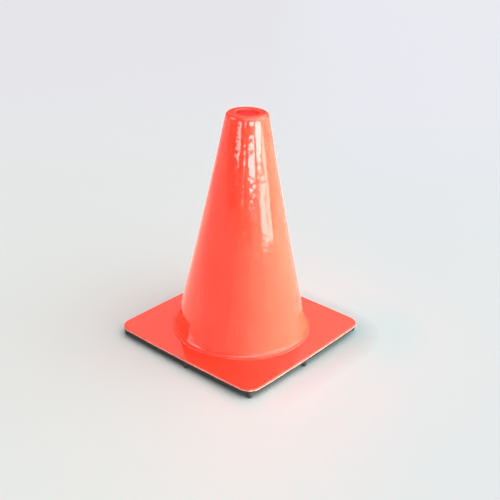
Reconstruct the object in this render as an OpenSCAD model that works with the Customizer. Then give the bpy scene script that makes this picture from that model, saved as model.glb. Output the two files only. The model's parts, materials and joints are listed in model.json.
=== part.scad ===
// Small square-based traffic cone, stood on the floor at z = 0.
// The flange's sides lie along X and Y, and the cone's axis is +Z.

/* [Cone] */
// Height from the floor to the top of the mouth
total_h = 305; // [280:1:340]
// Outer radius of the cone's side at its foot
cone_foot_r = 87.4; // [80:0.2:92]
// How far the middle of the cone's side curves inward
side_sag = 1.2; // [0:0.1:2]
// Thickness of the cone's wall
wall = 2.6; // [2:0.1:4]
// Radius of the fillet round the cone's foot
fillet_r = 5; // [3:0.5:7]
// Height of the small step where the fillet ends on the flange
collar_t = 0.8; // [0.4:0.1:1.5]

/* [Mouth] */
// Radius of the hole through the top
hole_r = 14.5; // [12:0.5:18]
// Radius of the rounding at the edge of the hole
lip_r = 1.6; // [1:0.2:3]
// Width of the flat rim round the hole
rim_w = 5; // [3:0.5:7]
// Radius of the round shoulder outside the rim
shoulder_r = 6; // [4:0.5:8]
// Length of the straight wall in the hole
land_l = 3; // [2:0.5:6]

/* [Flange] */
// Width of the square flange, across the middles of its sides
base_w = 234; // [226:1:250]
// Radius of the flange's slightly bowed sides
side_r = 3400; // [1500:100:20000]
// Radius of the flange's corners
corner_r = 18; // [10:1:30]
// Thickness of the coloured cover
skin_t = 3; // [3:0.2:4]
// Radius of the rounding along the cover's edge
skin_round = 1.4; // [0.4:0.1:1.4]
// Thickness of the black weight under it
core_t = 3.3; // [2:0.1:6]
// How far the weight's edge stands back from the cover's
core_inset = 0.8; // [0.2:0.1:2]

/* [Feet] */
// Diameter of one foot
foot_d = 7.6; // [5:0.2:10]
// Height of the weight's underside above the floor
foot_h = 7.3; // [4:0.1:9]
// Radius of the rounding round a foot's end
foot_round = 2.6; // [1:0.1:3]
// How far the side feet sit off the middle of their side
foot_shift = 8; // [0:1:20]

/* [Hidden] */
curve_fn = 96;
foot_fn = 32;
side_steps = 12;
arc_steps = 8;
half_w = base_w / 2;
// How far a cut runs past the faces that it goes through
cut_past = 1;

// Heights of the layers
skin_z = foot_h + core_t;
flange_z = skin_z + skin_t;
collar_z = flange_z + collar_t;

// The flat rim at the top runs between these two circles
rim_in_r = hole_r + lip_r;
rim_out_r = rim_in_r + rim_w;
shoulder_z = total_h - shoulder_r;
land_z = total_h - lip_r - land_l;

// The cone's side is the tangent from its foot to the shoulder's arc
to_foot = [cone_foot_r - rim_out_r, collar_z - shoulder_z];
taper = atan2(to_foot[1], to_foot[0]) + acos(shoulder_r / norm(to_foot));
side_top = [rim_out_r + shoulder_r * cos(taper), shoulder_z + shoulder_r * sin(taper)];
side_foot = [cone_foot_r, collar_z];
inner_foot_r = cone_foot_r - wall;

// The fillet touches the cone's side and ends level on the step
fillet_x = cone_foot_r + fillet_r * (1 - sin(taper)) / cos(taper);

// The corner arcs touch the bowed sides: centre of the corner at +X, +Y
corner_c = (side_half_chord() - (side_r - half_w)) / 2;
side_turn = atan2(corner_c, corner_c + side_r - half_w);

// Feet: one at each corner, and one near the middle of each side
foot_reach = foot_d / 2 + core_inset;
corner_foot = corner_c + (corner_r - foot_reach) * cos(45);
side_foot_x = half_w - foot_reach;
CORNERS = [[1, -1], [1, 1], [-1, 1], [-1, -1]];
CORNER_FEET = ["foot_corner_1", "foot_corner_2", "foot_corner_3", "foot_corner_4"];
SIDE_FEET = ["foot_side_1", "foot_side_2", "foot_side_3", "foot_side_4"];

// The side feet stand off the middle, towards the +X -Y and the -X +Y corners
function side_foot_place(i) = turned([[side_foot_x, foot_shift * (i % 2 == 0 ? -1 : 1)]], 90 * i)[0];

function side_half_chord() = sqrt(2 * pow(side_r - corner_r, 2) - pow(side_r - half_w, 2));

// Points on an arc in the plane, from angle a0 to a1
function arc(centre, r, a0, a1, steps) =
    [for (i = [0 : steps]) centre + r * [cos(a0 + (a1 - a0) * i / steps), sin(a0 + (a1 - a0) * i / steps)]];

function turned(points, a) = [for (p = points) [p[0] * cos(a) - p[1] * sin(a), p[0] * sin(a) + p[1] * cos(a)]];

// A quarter of the flange's outline: the bowed +X side, then the corner after it
function quarter(inset) = concat(
    arc([half_w - side_r, 0], side_r - inset, -side_turn, side_turn, side_steps),
    arc([corner_c, corner_c], corner_r - inset, side_turn, 90 - side_turn, arc_steps)
);

module flange_outline(inset) {
    polygon([for (q = [0 : 3]) each turned(quarter(inset), 90 * q)]);
}

// A flat slab of the flange's outline, with its edge rounded at the top and bottom
module rounded_slab(thickness, inset, edge_r) {
    hull()
        for (a = [0 : 30 : 90]) {
            stand_back = inset + edge_r * (1 - cos(a));
            rise = edge_r * (1 - sin(a));
            translate([0, 0, rise])
                linear_extrude(thickness - 2 * rise)
                    flange_outline(stand_back);
        }
}

// The cut for the round opening under the cone, through a layer of this thickness
module round_opening(thickness) {
    translate([0, 0, -cut_past])
        cylinder(r = inner_foot_r, h = thickness + 2 * cut_past, $fn = curve_fn);
}

// A point on the cone's outer side, with t from 0 at the foot to 1 at the shoulder
function side_point(t) = side_foot + (side_top - side_foot) * t - [side_sag * 4 * t * (1 - t), 0];

cone_outside = concat(
    arc([fillet_x, flange_z], collar_t, 0, 90, arc_steps),
    arc([fillet_x, collar_z + fillet_r], fillet_r, 270, 180 + taper, arc_steps),
    [for (i = [1 : side_steps]) side_point(i / side_steps)],
    arc([rim_out_r, shoulder_z], shoulder_r, taper, 90, arc_steps),
    arc([rim_in_r, total_h - lip_r], lip_r, 90, 180, arc_steps)
);

cone_inside = concat(
    [[hole_r, land_z]],
    arc([rim_out_r, land_z - shoulder_r + wall], shoulder_r - wall, 90, taper, arc_steps),
    [for (i = [side_steps - 1 : -1 : 0]) side_point(i / side_steps) - [wall, 0]],
    [[inner_foot_r, flange_z]]
);

module cone_body() {
    color([0.98, 0.25, 0.13])
        rotate_extrude($fn = curve_fn)
            polygon(concat(cone_outside, cone_inside));
}

module base_skin() {
    color([1, 0.33, 0.22])
        translate([0, 0, skin_z])
            difference() {
                rounded_slab(skin_t, 0, skin_round);
                round_opening(skin_t);
            }
}

module base_core() {
    color([0.12, 0.12, 0.13])
        translate([0, 0, foot_h])
            difference() {
                linear_extrude(core_t)
                    flange_outline(core_inset);
                round_opening(core_t);
            }
}

module foot(place) {
    color([0.08, 0.08, 0.09])
        translate([place[0], place[1], 0])
            rotate_extrude($fn = foot_fn)
                polygon(concat(
                    [[0, 0]],
                    arc([foot_d / 2 - foot_round, foot_round], foot_round, 270, 360, arc_steps),
                    [[foot_d / 2, foot_h], [0, foot_h]]
                ));
}

cone_body();
base_skin();
base_core();
for (i = [0 : 3])
    foot(corner_foot * CORNERS[i]);
for (i = [0 : 3])
    foot(side_foot_place(i));
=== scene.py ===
"""A small square-based traffic cone in glossy red-orange PVC, on a pale table.

Lengths are in metres and angles in degrees, unless a docstring says otherwise. The object's places and
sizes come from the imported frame.
"""

import json
import math

import bmesh
import bpy
from mathutils import Matrix, Vector, noise


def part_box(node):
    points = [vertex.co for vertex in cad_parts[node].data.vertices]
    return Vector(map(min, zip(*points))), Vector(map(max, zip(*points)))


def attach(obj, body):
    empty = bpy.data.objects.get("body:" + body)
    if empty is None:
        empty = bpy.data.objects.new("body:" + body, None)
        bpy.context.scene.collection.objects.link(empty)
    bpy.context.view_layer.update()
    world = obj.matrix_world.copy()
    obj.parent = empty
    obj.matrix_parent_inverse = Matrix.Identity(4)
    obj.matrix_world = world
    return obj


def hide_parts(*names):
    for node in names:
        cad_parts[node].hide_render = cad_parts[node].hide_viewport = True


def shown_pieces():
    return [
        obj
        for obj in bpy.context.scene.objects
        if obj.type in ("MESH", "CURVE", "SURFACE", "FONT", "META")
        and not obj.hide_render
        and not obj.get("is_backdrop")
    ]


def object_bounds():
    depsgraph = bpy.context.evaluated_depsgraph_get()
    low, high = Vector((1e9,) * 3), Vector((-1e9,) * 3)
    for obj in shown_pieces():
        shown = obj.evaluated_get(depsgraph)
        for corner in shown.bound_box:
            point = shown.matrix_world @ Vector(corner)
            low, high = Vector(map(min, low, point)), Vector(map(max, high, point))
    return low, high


MM = 0.001

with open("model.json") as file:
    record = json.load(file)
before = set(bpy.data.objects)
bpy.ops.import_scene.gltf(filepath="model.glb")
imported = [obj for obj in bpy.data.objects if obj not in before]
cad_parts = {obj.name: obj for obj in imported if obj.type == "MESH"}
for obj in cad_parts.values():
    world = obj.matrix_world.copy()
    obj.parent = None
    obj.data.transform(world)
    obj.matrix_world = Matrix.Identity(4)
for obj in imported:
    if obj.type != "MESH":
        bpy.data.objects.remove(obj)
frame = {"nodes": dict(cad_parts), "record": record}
cad_low, cad_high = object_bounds()

# ---- sizes taken from the frame ----

MOUNTS = {mount["name"]: mount for mount in frame["record"]["mounts"]}
HOLE_R = MOUNTS["top_hole"]["dims"]["r_mm"] * MM
OPENING_R = MOUNTS["stacking_mouth"]["dims"]["r_mm"] * MM
TOP_Z = cad_high.z
SKIN_LOW, SKIN_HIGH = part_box("base_skin")
CORE_LOW, CORE_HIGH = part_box("base_core")
FLANGE_Z = SKIN_HIGH.z
HALF_W = SKIN_HIGH.x

# ---- sizes of the moulding that the frame's boxes don't hold ----

WALL = 2.6 * MM
FILLET_R = 5.0 * MM
COLLAR = 0.8 * MM          # height of the small step where the fillet ends
SIDE_SAG = 1.2 * MM        # how far the middle of the cone's side curves inward
LIP_R = 1.6 * MM
RIM_W = 5.0 * MM
SHOULDER_R = 6.0 * MM
LAND = 3.0 * MM            # length of the straight wall in the hole
SIDE_R = 3400 * MM         # radius of the flange's bowed sides
CORNER_R = 18 * MM
SKIN_EDGE_R = 1.45 * MM    # rounding of the cover's edge
CORE_EDGE_R = 0.5 * MM     # rounding of the weight's edge
FOOT_TIP_R = 2.6 * MM
FOOT_CAP_R = 0.4 * MM      # radius of the small flat cap that closes a foot's end
PAINTED_HIGHLIGHT_HEIGHT = 1.15 * MM      # height of the painted highlight, a paler band along the bottom of the cover's edge

# ---- unevenness of the cone's outside ----

WAVE = 0.20 * MM           # height of the long waves
WAVES_ROUND = 5            # radius of the circle in the noise that goes once round the cone
WAVES_UP = 22              # steps of the noise in a metre of height
DIMPLE = 0.07 * MM         # height of the dimples between the waves
DIMPLES = 250              # steps of the dimples' noise in a metre
DIMPLE_SQUASH = 0.8        # under 1 makes them taller than they are wide

# ---- mesh steps ----

TURNS = 288                # round the cone's axis
FOOT_TURNS = 40            # round a foot's axis
SIDE_STEPS = 150           # up the cone's side
FILLET_SIDE_STEPS = 3      # steps at the foot of the side that the fillet takes the place of
INSIDE_STEP = 4            # the inside takes one in so many of the side's steps

# ---- colours ----

WHITE = (1, 1, 1)
NO_LIGHT = (0, 0, 0)
ORANGE_DEEP = (1.0, 0.042, 0.020)
ORANGE_CLOUDY = (1.0, 0.048, 0.024)
# painted highlight: the paler colour of the band along the bottom of the cover's edge
ORANGE_PAINTED_HIGHLIGHT = (1.0, 0.70, 0.64)
BLACK_DEEP = (0.010, 0.009, 0.010)
BLACK_WORN = (0.026, 0.020, 0.019)
# the table's painted light: a glow of window light on its sunny side and a faint cool glow at its back
TABLE_SHADY = (0.66, 0.70, 0.67)
TABLE_SUNNY = (0.17, 0.25, 0.24)
TABLE_PAINTED_COOL_GLOW = (0.03, 0.0, 0.05)
TABLE_PAINTED_SUN_GLOW = [(0.0, (0.05, 0.10, 0.10)), (0.2, (0.18, 0.30, 0.31)),
                    (0.42, (0.40, 0.50, 0.51)), (1.0, (0.54, 0.50, 0.51))]

# ---- places on the stage ----

TABLE_REACH = 9            # how far the table goes on each side
TABLE_GAP = 0.02 * MM      # keeps the table's top just clear of the ends of the feet
TABLE_TURN = -38           # turn that lays the table's own X axis towards the sunny side
SUNNY_SPAN = (-0.02, 0.22)     # where the table turns from shady to its painted sunny glow, along that axis
COOL_SPAN = (0.1, 1.2)         # where its painted cool glow grows, towards the back
GLOW_SPAN = (HALF_W, 0.220)    # where its painted glow grows, from the object's base outward, so painted shade stays next to the base
ROOM = 10                  # distance of the windows
AIM = Vector((0, 0, 0.2))  # the place that the windows are set out round
WALL_AZIMUTH = 150         # the way that the wall with the low windows lies
WALL_DISTANCE = 1.0
POOL_SPAN = (0.25, 1.2)    # distances that the bright patches of floor lie between
POOL_Z = 2 * MM


# ---- outline curves, as lists of (radius or x, height or y) pairs ----

def arc(centre, radius, start, end, steps):
    """Points on an arc, from one angle to another."""
    points = []
    for i in range(steps + 1):
        a = math.radians(start + (end - start) * i / steps)
        points.append((centre[0] + radius * math.cos(a), centre[1] + radius * math.sin(a)))
    return points


def cone_taper(foot_r, rim_r):
    """The angle at the shoulder's centre, up from level, of the place where the side touches its arc."""
    across = foot_r - rim_r
    down = FLANGE_Z + COLLAR - (TOP_Z - SHOULDER_R)
    return math.degrees(math.atan2(down, across) + math.acos(SHOULDER_R / math.hypot(across, down)))


def cone_profile():
    """The closed outline of the cone's wall: up the outside, over the rim, and down the inside."""
    foot_r = OPENING_R + WALL
    rim_in, rim_out = HOLE_R + LIP_R, HOLE_R + LIP_R + RIM_W
    collar_z = FLANGE_Z + COLLAR
    shoulder_z = TOP_Z - SHOULDER_R
    land_z = TOP_Z - LIP_R - LAND
    taper = cone_taper(foot_r, rim_out)
    slope = math.radians(taper)
    foot = Vector((foot_r, collar_z))
    top = Vector((rim_out + SHOULDER_R * math.cos(slope), shoulder_z + SHOULDER_R * math.sin(slope)))
    fillet_x = foot_r + FILLET_R * (1 - math.sin(slope)) / math.cos(slope)

    def side(i, inset):
        """The point so many steps up the curved side, drawn in by an inset."""
        t = i / SIDE_STEPS
        point = foot.lerp(top, t)
        return point.x - SIDE_SAG * 4 * t * (1 - t) - inset, point.y

    points = arc((fillet_x, FLANGE_Z), COLLAR, 0, 90, 5)
    points += arc((fillet_x, collar_z + FILLET_R), FILLET_R, 270, 180 + taper, 12)[1:]
    points += [side(i, 0) for i in range(FILLET_SIDE_STEPS, SIDE_STEPS)]
    points += arc((rim_out, shoulder_z), SHOULDER_R, taper, 90, 16)
    points += arc((rim_in, TOP_Z - LIP_R), LIP_R, 90, 180, 8)
    points += arc((rim_out, land_z - SHOULDER_R + WALL), SHOULDER_R - WALL, 90, taper, 8)
    points += [side(i, WALL) for i in range(SIDE_STEPS - 2 * INSIDE_STEP, -1, -INSIDE_STEP)]
    points.append((OPENING_R, FLANGE_Z))
    return points


def flange_radius(angle, inset):
    """How far the flange's outline is from the axis, in a direction in radians, drawn in by an inset."""
    a = math.atan2(math.sin(angle), math.cos(angle))
    turn = (a + math.pi / 4) % (math.pi / 2) - math.pi / 4       # into the quarter round +X
    corner_c = (math.sqrt(2 * (SIDE_R - CORNER_R) ** 2 - (SIDE_R - HALF_W) ** 2) - (SIDE_R - HALF_W)) / 2
    side_turn = math.atan2(corner_c, corner_c + SIDE_R - HALF_W)
    joint_y = (SIDE_R - inset) * math.sin(side_turn)
    joint_x = HALF_W - SIDE_R + (SIDE_R - inset) * math.cos(side_turn)
    way = Vector((math.cos(turn), abs(math.sin(turn))))
    if abs(turn) <= math.atan2(joint_y, joint_x):
        centre, radius = Vector((HALF_W - SIDE_R, 0)), SIDE_R - inset
    else:
        centre, radius = Vector((corner_c, corner_c)), CORNER_R - inset
    along = way.dot(centre)
    return along + math.sqrt(along * along - centre.length_squared + radius * radius)


def foot_profile(low, high):
    """A stub foot: flat end, round edge, and a straight side up to the weight."""
    radius = (high.x - low.x) / 2
    side_steps = 4
    points = [(FOOT_CAP_R, 0)]
    points += arc((radius - FOOT_TIP_R, FOOT_TIP_R), FOOT_TIP_R, 270, 360, 10)
    for i in range(1, side_steps + 1):
        points.append((radius, FOOT_TIP_R + (high.z - FOOT_TIP_R) * i / side_steps))
    return points


# ---- meshes ----

def new_piece(name, build, material):
    """A smooth-shaded mesh object from a bmesh that a function fills."""
    mesh = bpy.data.meshes.new(name)
    bm = bmesh.new()
    build(bm)
    bmesh.ops.recalc_face_normals(bm, faces=bm.faces)
    for face in bm.faces:
        face.smooth = True
    bm.to_mesh(mesh)
    bm.free()
    piece = bpy.data.objects.new(name, mesh)
    bpy.context.scene.collection.objects.link(piece)
    mesh.materials.append(material)
    return piece


def new_ring(bm, place, height, turns, radius_at):
    """A ring of vertices round a place. A function gives its radius at an angle in radians."""
    ring = []
    for i in range(turns):
        a = 2 * math.pi * i / turns
        radius = radius_at(a)
        x, y = place[0] + radius * math.cos(a), place[1] + radius * math.sin(a)
        ring.append(bm.verts.new((x, y, height)))
    return ring


def bridge(bm, rings, closed):
    """Faces between neighbouring rings of vertices, and from the last ring to the first if closed."""
    pairs = list(zip(rings, rings[1:]))
    if closed:
        pairs.append((rings[-1], rings[0]))
    for low, high in pairs:
        count = len(low)
        for i in range(count):
            j = (i + 1) % count
            bm.faces.new((low[i], low[j], high[j], high[i]))


def lathe(bm, profile, turns, place=(0, 0)):
    """The rings of vertices that a profile of (radius, height) makes about an upright axis."""
    return [new_ring(bm, place, height, turns, lambda a: radius) for radius, height in profile]


def draw_in(place):
    """How far the cone's outside is drawn in at a place, by the moulding's long waves and dimples."""
    rim_fade = min(1, (TOP_Z - place.z) / SHOULDER_R)
    foot_fade = min(1, (place.z - FLANGE_Z) / FILLET_R)
    around = math.atan2(place.y, place.x)
    circle_x, circle_y = WAVES_ROUND * math.cos(around), WAVES_ROUND * math.sin(around)
    wave = noise.noise(Vector((circle_x, circle_y, place.z * WAVES_UP)))
    dimple = noise.noise(Vector((place.x, place.y, place.z * DIMPLE_SQUASH)) * DIMPLES)
    return rim_fade * foot_fade * (WAVE * (1 + wave) + DIMPLE * (1 + dimple))


def cone_shell(bm):
    """The cone's wall, with the outside a little wavy."""
    profile = cone_profile()
    rings = lathe(bm, profile, TURNS)
    bridge(bm, rings, closed=True)
    rim = profile.index(max(profile, key=lambda point: point[1]))
    for ring in rings[:rim]:
        for vert in ring:
            share = 1 - draw_in(vert.co) / math.hypot(vert.co.x, vert.co.y)
            vert.co.x *= share
            vert.co.y *= share


def slab(bm, low, high, inset, edge_r, edge_steps, rings_across):
    """A flat ring from the round opening to the flange's outline, with its outer edge rounded."""
    levels = []                     # (share of the way out, inset, height), once round the section
    for i in range(rings_across):
        levels.append((i / rings_across, inset + edge_r, high.z))
    for i in range(2 * edge_steps + 1):
        a = math.pi / 2 - math.pi * i / (2 * edge_steps)
        middle = high.z - edge_r if a >= 0 else low.z + edge_r
        levels.append((1, inset + edge_r * (1 - math.cos(a)), middle + edge_r * math.sin(a)))
    for i in range(rings_across - 1, -1, -1):
        levels.append((i / rings_across, inset + edge_r, low.z))
    rings = []
    for share, drawn_in, height in levels:
        def radius_at(angle):
            """The ring's share of the way from the opening to the outline."""
            return OPENING_R + (flange_radius(angle, drawn_in) - OPENING_R) * share
        rings.append(new_ring(bm, (0, 0), height, TURNS, radius_at))
    bridge(bm, rings, closed=True)


def flange_cover(bm):
    """The orange cover of the flange."""
    slab(bm, SKIN_LOW, SKIN_HIGH, 0, SKIN_EDGE_R, edge_steps=8, rings_across=16)


def base_weight(bm):
    """The black layer under the cover, whose edge stands back a little."""
    slab(bm, CORE_LOW, CORE_HIGH, HALF_W - CORE_HIGH.x, CORE_EDGE_R, edge_steps=4, rings_across=12)


def foot(bm, low, high):
    """One foot, between the corners of its box."""
    centre = (low + high) / 2
    rings = lathe(bm, foot_profile(low, high), FOOT_TURNS, (centre.x, centre.y))
    bridge(bm, rings, closed=False)
    bm.faces.new(rings[0])
    bm.faces.new(rings[-1])


# ---- materials ----

class Nodes:
    """The node tree of a new material, with short ways to add to it."""

    def __init__(self, name):
        self.material = bpy.data.materials.new(name)
        self.material.use_nodes = True
        self.tree = self.material.node_tree
        self.shader = self.tree.nodes["Principled BSDF"]
        self.place = self.add("ShaderNodeTexCoord").outputs["Object"]

    def add(self, kind, **inputs):
        """A new node, with its inputs set by name. An underscore stands for a space in a name."""
        node = self.tree.nodes.new(kind)
        for key, value in inputs.items():
            node.inputs[key.replace("_", " ")].default_value = value
        return node

    def link(self, source, target):
        """Joins an output to an input."""
        self.tree.links.new(source, target)

    def use(self, source, name):
        """Joins an output to the shader's input of that name."""
        self.link(source, self.shader.inputs[name])

    def fix(self, name, value):
        """Gives the shader's input of that name a value that is the same all over."""
        self.shader.inputs[name].default_value = value

    def split(self, source):
        """The X, Y and Z of a vector."""
        node = self.add("ShaderNodeSeparateXYZ")
        self.link(source, node.inputs["Vector"])
        return node.outputs

    def vector_math(self, operation, *sources):
        """The results of arithmetic on vectors. A plain number counts for X, Y and Z alike."""
        node = self.add("ShaderNodeVectorMath")
        node.operation = operation
        for source, target in zip(sources, node.inputs):
            self.link(source, target)
        return node.outputs

    def noise(self, scale, detail=2.0, roughness=0.5, squash=None):
        """Noise with about so many lumps in a metre, in places that are squashed first if asked for."""
        place = self.place
        if squash is not None:
            mapping = self.add("ShaderNodeMapping", Scale=squash)
            self.link(place, mapping.inputs["Vector"])
            place = mapping.outputs["Vector"]
        node = self.add("ShaderNodeTexNoise", Scale=scale, Detail=detail, Roughness=roughness)
        self.link(place, node.inputs["Vector"])
        return node.outputs["Fac"]

    def ramp(self, source, stops):
        """Colours along a source value: stops are (position, (r, g, b))."""
        node = self.add("ShaderNodeValToRGB")
        elements = node.color_ramp.elements
        while len(elements) < len(stops):
            elements.new(0.5)
        for element, (position, colour) in zip(elements, stops):
            element.position = position
            element.color = (*colour, 1)
        self.link(source, node.inputs["Fac"])
        return node.outputs["Color"]

    def grow(self, source, given, wanted=(0.0, 1.0)):
        """Turns a value between two given ends into one between two wanted ends."""
        node = self.add("ShaderNodeMapRange", From_Min=given[0], From_Max=given[1],
                        To_Min=wanted[0], To_Max=wanted[1])
        self.link(source, node.inputs["Value"])
        return node.outputs["Result"]

    def spread(self, source, low, high):
        """Turns a noise value into a range of numbers."""
        return self.grow(source, (0.3, 0.7), (low, high))

    def mottle(self, source, low, high):
        """Turns a noise value into a range of colours."""
        return self.ramp(source, [(0.3, low), (0.7, high)])

    def below(self, height, fade):
        """Grows from 0 above a height to 1 below it."""
        return self.grow(self.split(self.place)["Z"], (height + fade / 2, height - fade / 2))

    def blend(self, share, source, colour):
        """A colour source, replaced by a plain colour where the share is 1."""
        node = self.add("ShaderNodeMix")
        node.data_type = "RGBA"
        at_none, at_full = [target for target in node.inputs if target.type == "RGBA"]
        self.link(share, node.inputs["Factor"])
        self.link(source, at_none)
        at_full.default_value = (*colour, 1)
        return [result for result in node.outputs if result.type == "RGBA"][0]

    def bump(self, source, height, before=None):
        """A bump layer of a height in metres, on top of the layer before it."""
        node = self.add("ShaderNodeBump", Strength=1.0, Distance=height)
        self.link(source, node.inputs["Height"])
        if before is not None:
            self.link(before, node.inputs["Normal"])
        return node.outputs["Normal"]


def orange_pvc():
    """Glossy soft PVC: a saturated red-orange with faint cloudiness, moulding ripples and orange peel, and
    a painted highlight as a paler band along the bottom of the cover's edge.
    """
    n = Nodes("orange_pvc")
    # painted highlight: a paler band along the bottom of the cover's edge, where the rim catches light
    painted_rim_highlight = n.below(SKIN_LOW.z + PAINTED_HIGHLIGHT_HEIGHT, fade=0.4 * MM)
    moulded = n.mottle(n.noise(22, detail=3), ORANGE_DEEP, ORANGE_CLOUDY)
    ripple = n.bump(n.noise(330, detail=1, squash=(1, 1, 0.8)), 0.03 * MM)
    peel = n.bump(n.noise(900), 0.002 * MM, ripple)
    n.use(n.blend(painted_rim_highlight, moulded, ORANGE_PAINTED_HIGHLIGHT), "Base Color")
    n.use(n.spread(n.noise(60, detail=4), 0.03, 0.07), "Roughness")
    n.use(peel, "Normal")
    n.fix("IOR", 1.54)
    n.fix("Subsurface Weight", 0.6)
    n.fix("Subsurface Radius", (1.0, 0.3, 0.15))
    n.fix("Subsurface Scale", 8 * MM)
    return n.material


def black_pvc():
    """Matt black recycled PVC, a little mottled and grained."""
    n = Nodes("black_pvc")
    n.use(n.mottle(n.noise(70, detail=5, roughness=0.6), BLACK_DEEP, BLACK_WORN), "Base Color")
    n.use(n.spread(n.noise(240, detail=3), 0.42, 0.6), "Roughness")
    n.use(n.bump(n.noise(1400, detail=3), 0.03 * MM), "Normal")
    return n.material


def table_top():
    """A pale matt table with painted light. Its sunny side is less red and has a painted glow of window
    light, kept low next to the object's base as painted shade, and its back has a faint painted cool glow.
    """
    n = Nodes("table_top")
    across, depth = table_directions(n)
    # painted light: window light glowing on the sunny side, kept low next to the object's base as painted
    # shade, and a faint cool glow at the back
    sunny = n.grow(across, SUNNY_SPAN)
    glow = n.ramp(away_from_object(n), TABLE_PAINTED_SUN_GLOW)
    cool = n.ramp(n.grow(depth, COOL_SPAN), [(0.0, NO_LIGHT), (1.0, TABLE_PAINTED_COOL_GLOW)])
    n.use(n.ramp(sunny, [(0.0, TABLE_SHADY), (1.0, TABLE_SUNNY)]), "Base Color")
    n.use(n.vector_math("MULTIPLY_ADD", glow, sunny, cool)["Vector"], "Emission Color")
    n.fix("Emission Strength", 1.0)
    n.fix("Roughness", 0.6)
    return n.material


def table_directions(n):
    """Lengths across the table, towards the windows on the right, and back from its near side."""
    spin = n.add("ShaderNodeMapping", Rotation=(0, 0, math.radians(TABLE_TURN)))
    n.link(n.place, spin.inputs["Vector"])
    parts = n.split(spin.outputs["Vector"])
    return parts["X"], parts["Y"]


def away_from_object(n):
    """Grows to 1 with the distance from the object's base, in the shape of a square with round corners."""
    squares = n.vector_math("MULTIPLY", n.place, n.place)["Vector"]
    size = n.add("ShaderNodeMath")
    size.operation = "SQRT"
    n.link(n.vector_math("LENGTH", squares)["Value"], size.inputs[0])
    return n.grow(size.outputs["Value"], GLOW_SPAN)


# ---- the object ----

def place_piece(name, build, material, node):
    """Makes a piece that stands for a CAD node."""
    piece = new_piece(name, build, material)
    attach(piece, "root")
    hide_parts(node)


def build_object():
    """The cone, the two layers of its flange, and its feet."""
    orange = orange_pvc()
    black = black_pvc()
    place_piece("cone_shell", cone_shell, orange, "cone_body")
    place_piece("flange_cover", flange_cover, orange, "base_skin")
    place_piece("base_weight", base_weight, black, "base_core")
    for node in sorted(frame["nodes"]):
        if node.startswith("foot_"):
            low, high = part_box(node)
            place_piece(node + "_stub", lambda bm: foot(bm, low, high), black, node)


# ---- the stage ----

def floor():
    """The table that the object stands on."""
    mesh = bpy.data.meshes.new("table")
    bm = bmesh.new()
    bmesh.ops.create_grid(bm, x_segments=8, y_segments=8, size=TABLE_REACH)
    bm.to_mesh(mesh)
    bm.free()
    table = bpy.data.objects.new("table", mesh)
    table.location.z = -TABLE_GAP
    bpy.context.scene.collection.objects.link(table)
    mesh.materials.append(table_top())
    table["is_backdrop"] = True


def direction(azimuth, elevation):
    """The way from the object towards a place seen at these angles. Azimuth 0 is -Y and 90 is +X."""
    a, e = math.radians(azimuth), math.radians(elevation)
    return Vector((math.sin(a) * math.cos(e), -math.cos(a) * math.cos(e), math.sin(e)))


def add_lamp(name, light, place):
    """Puts a light in the scene that lights the object alone and is hidden from the camera."""
    lamp = bpy.data.objects.new(name, light)
    lamp.location = place
    lamp.visible_camera = False
    lamp.light_linking.receiver_collection = bpy.data.collections["lit_by_windows"]
    bpy.context.scene.collection.objects.link(lamp)
    return lamp


def flat_light(name, place, away, size, radiance, colour, seen=True, lights_up=False):
    """A flat soft light of a width and height, which faces back along the away direction.

    One that isn't seen makes no reflection, and one that doesn't light up makes only a reflection.
    """
    light = bpy.data.lights.new(name, "AREA")
    light.shape = "RECTANGLE"
    light.size, light.size_y = size
    light.energy = radiance * math.pi * size[0] * size[1]      # watts from a panel of that radiance
    light.color = colour
    lamp = add_lamp(name, light, place)
    lamp.rotation_euler = away.to_track_quat("Z", "Y").to_euler()
    lamp.visible_glossy = seen
    lamp.visible_diffuse = lights_up


def panel(name, azimuths, elevations, radiance, colour=WHITE, **visibility):
    """A flat light that fills a range of azimuths and elevations, as seen from the object."""
    away = direction(sum(azimuths) / 2, sum(elevations) / 2)
    size = [2 * ROOM * math.tan(math.radians((end - start) / 2)) for start, end in (azimuths, elevations)]
    flat_light(name, AIM + away * ROOM, away, size, radiance, colour, **visibility)


def fill(name, azimuths, elevations, radiance, colour=WHITE):
    """A panel that lights the object up and makes no reflection."""
    panel(name, azimuths, elevations, radiance, colour, seen=False, lights_up=True)


def wall_panel(name, azimuths, heights, radiance, colour=WHITE):
    """A reflection in the near wall, between two azimuths and two heights."""
    start, end = [WALL_DISTANCE * math.tan(math.radians(azimuth - WALL_AZIMUTH)) for azimuth in azimuths]
    out = direction(WALL_AZIMUTH, 0)
    along = direction(WALL_AZIMUTH + 90, 0)
    place = out * WALL_DISTANCE + along * (start + end) / 2 + Vector((0, 0, sum(heights) / 2))
    flat_light(name, place, out, (end - start, heights[1] - heights[0]), radiance, colour)


def floor_panel(name, azimuth, width, radiance, colour):
    """A patch of brighter floor out of the camera's view, which shows in the gloss of the cone's edges."""
    near, far = POOL_SPAN
    place = direction(azimuth, 0) * (near + far) / 2 + Vector((0, 0, POOL_Z))
    flat_light(name, place, Vector((0, 0, -1)), (far - near, width), radiance, colour)


def hollow_glow():
    """The cool light that comes up inside the cone and shows on the wall of the hole."""
    light = bpy.data.lights.new("hollow_glow", "POINT")
    light.shadow_soft_size = 8 * MM
    light.energy = 0.095
    light.color = (0.3, 0.55, 1.0)
    lamp = add_lamp("hollow_glow", light, (0, 0, TOP_Z - 30 * MM))
    lamp.visible_glossy = False


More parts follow.
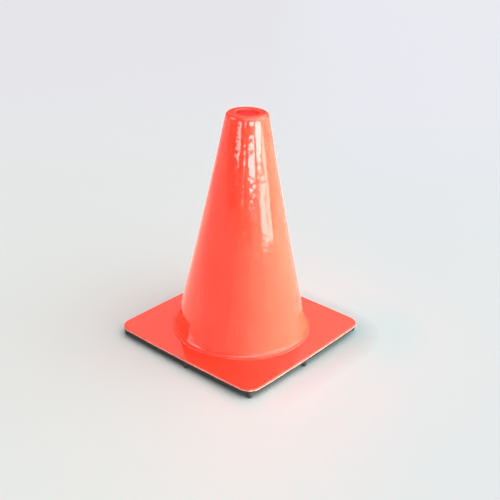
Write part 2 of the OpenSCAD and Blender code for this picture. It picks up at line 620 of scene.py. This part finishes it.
def lights():
    """Windows round the object, which light it alone. The room's own light is left to light the table."""
    lit = bpy.data.collections.new("lit_by_windows")
    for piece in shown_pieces():
        lit.objects.link(piece)
    panel("window_front", azimuths=(-6, 14), elevations=(3.2, 4.7), radiance=9.5)
    panel("window_narrow", azimuths=(33.6, 37), elevations=(1.7, 4.7), radiance=10)
    panel("window_middle", azimuths=(53, 73), elevations=(1.5, 4.7), radiance=13)
    panel("window_right", azimuths=(83.5, 104), elevations=(0.8, 5.4), radiance=12.5)
    panel("sky_left", azimuths=(-60, -30), elevations=(6, 42), radiance=4)
    panel("sky_right", azimuths=(133, 150), elevations=(6, 48), radiance=2)
    panel("sky_back", azimuths=(-165, -120), elevations=(22, 42), radiance=0.75, colour=(1, 0.95, 0.8))
    panel("sky_front", azimuths=(25, 66), elevations=(48, 54), radiance=15)
    hollow_glow()
    fill("fill_right", azimuths=(100, 140), elevations=(0, 3), radiance=700, colour=(1, 0.97, 0.93))
    fill("fill_left", azimuths=(-70, 10), elevations=(0, 10), radiance=18)
    fill("fill_back", azimuths=(-160, -125), elevations=(20, 42), radiance=9)
    wall_panel("low_window_left", azimuths=(88, 105), heights=(0.05, 0.21), radiance=8.5)
    wall_panel("low_window_right", azimuths=(106.5, 117), heights=(0.03, 0.30), radiance=8,
               colour=(1, 0.92, 0.84))
    floor_panel("pool_left", azimuth=-120, width=1.4, radiance=0.35, colour=(1, 0.90, 0.55))
    floor_panel("pool_right", azimuth=160, width=0.9, radiance=0.15, colour=(1, 0.90, 0.70))


def world_lobe(tree, place, toward, edge, full, strength):
    """The strength of the part of the room's light that comes from around one direction.

    The edge and full values are cosines of the angle from that direction. The light starts at the first
    and has all its strength from the second on.
    """
    along = tree.nodes.new("ShaderNodeVectorMath")
    along.operation = "DOT_PRODUCT"
    along.inputs[1].default_value = toward
    grow = tree.nodes.new("ShaderNodeMapRange")
    grow.inputs["From Min"].default_value = edge
    grow.inputs["From Max"].default_value = full
    grow.inputs["To Min"].default_value = 0.0
    grow.inputs["To Max"].default_value = strength
    tree.links.new(place, along.inputs[0])
    tree.links.new(along.outputs["Value"], grow.inputs["Value"])
    return grow.outputs["Result"]


def room_light():
    """A pale room, bright overhead and low on the right, and dim elsewhere."""
    room = bpy.data.worlds.new("room")
    room.use_nodes = True
    tree = room.node_tree
    shade = tree.nodes["Background"]
    shade.inputs["Color"].default_value = (1.0, 0.985, 1.0, 1)
    place = tree.nodes.new("ShaderNodeTexCoord").outputs["Generated"]
    overhead = world_lobe(tree, place, direction(140, 68), edge=0.55, full=0.9, strength=1.55)
    low_right = world_lobe(tree, place, direction(105, 25), edge=0.45, full=0.95, strength=1.5)
    both = tree.nodes.new("ShaderNodeMath")
    tree.links.new(overhead, both.inputs[0])
    tree.links.new(low_right, both.inputs[1])
    with_dim = tree.nodes.new("ShaderNodeMath")
    with_dim.inputs[1].default_value = 0.2
    tree.links.new(both.outputs["Value"], with_dim.inputs[0])
    tree.links.new(with_dim.outputs["Value"], shade.inputs["Strength"])
    bpy.context.scene.world = room


def camera():
    """A camera off the object's near corner, looking down at it and tilted a little sideways."""
    back = direction(39.74, 25.24)
    place = Vector((0.6400, -0.7564, 0.5893))
    roll = math.radians(1.93)
    right = (-back).cross(Vector((0, 0, 1))).normalized()
    up = right.cross(-back)
    side = right * math.cos(roll) + up * math.sin(roll)
    top = up * math.cos(roll) - right * math.sin(roll)
    data = bpy.data.cameras.new("camera")
    data.sensor_width = 36
    data.lens = 61.2
    cam = bpy.data.objects.new("camera", data)
    cam.matrix_world = Matrix.Translation(place) @ Matrix((side, top, back)).transposed().to_4x4()
    bpy.context.scene.collection.objects.link(cam)
    bpy.context.scene.camera = cam


build_object()
floor()
lights()
room_light()
camera()
bpy.context.scene.view_settings.view_transform = "Standard"
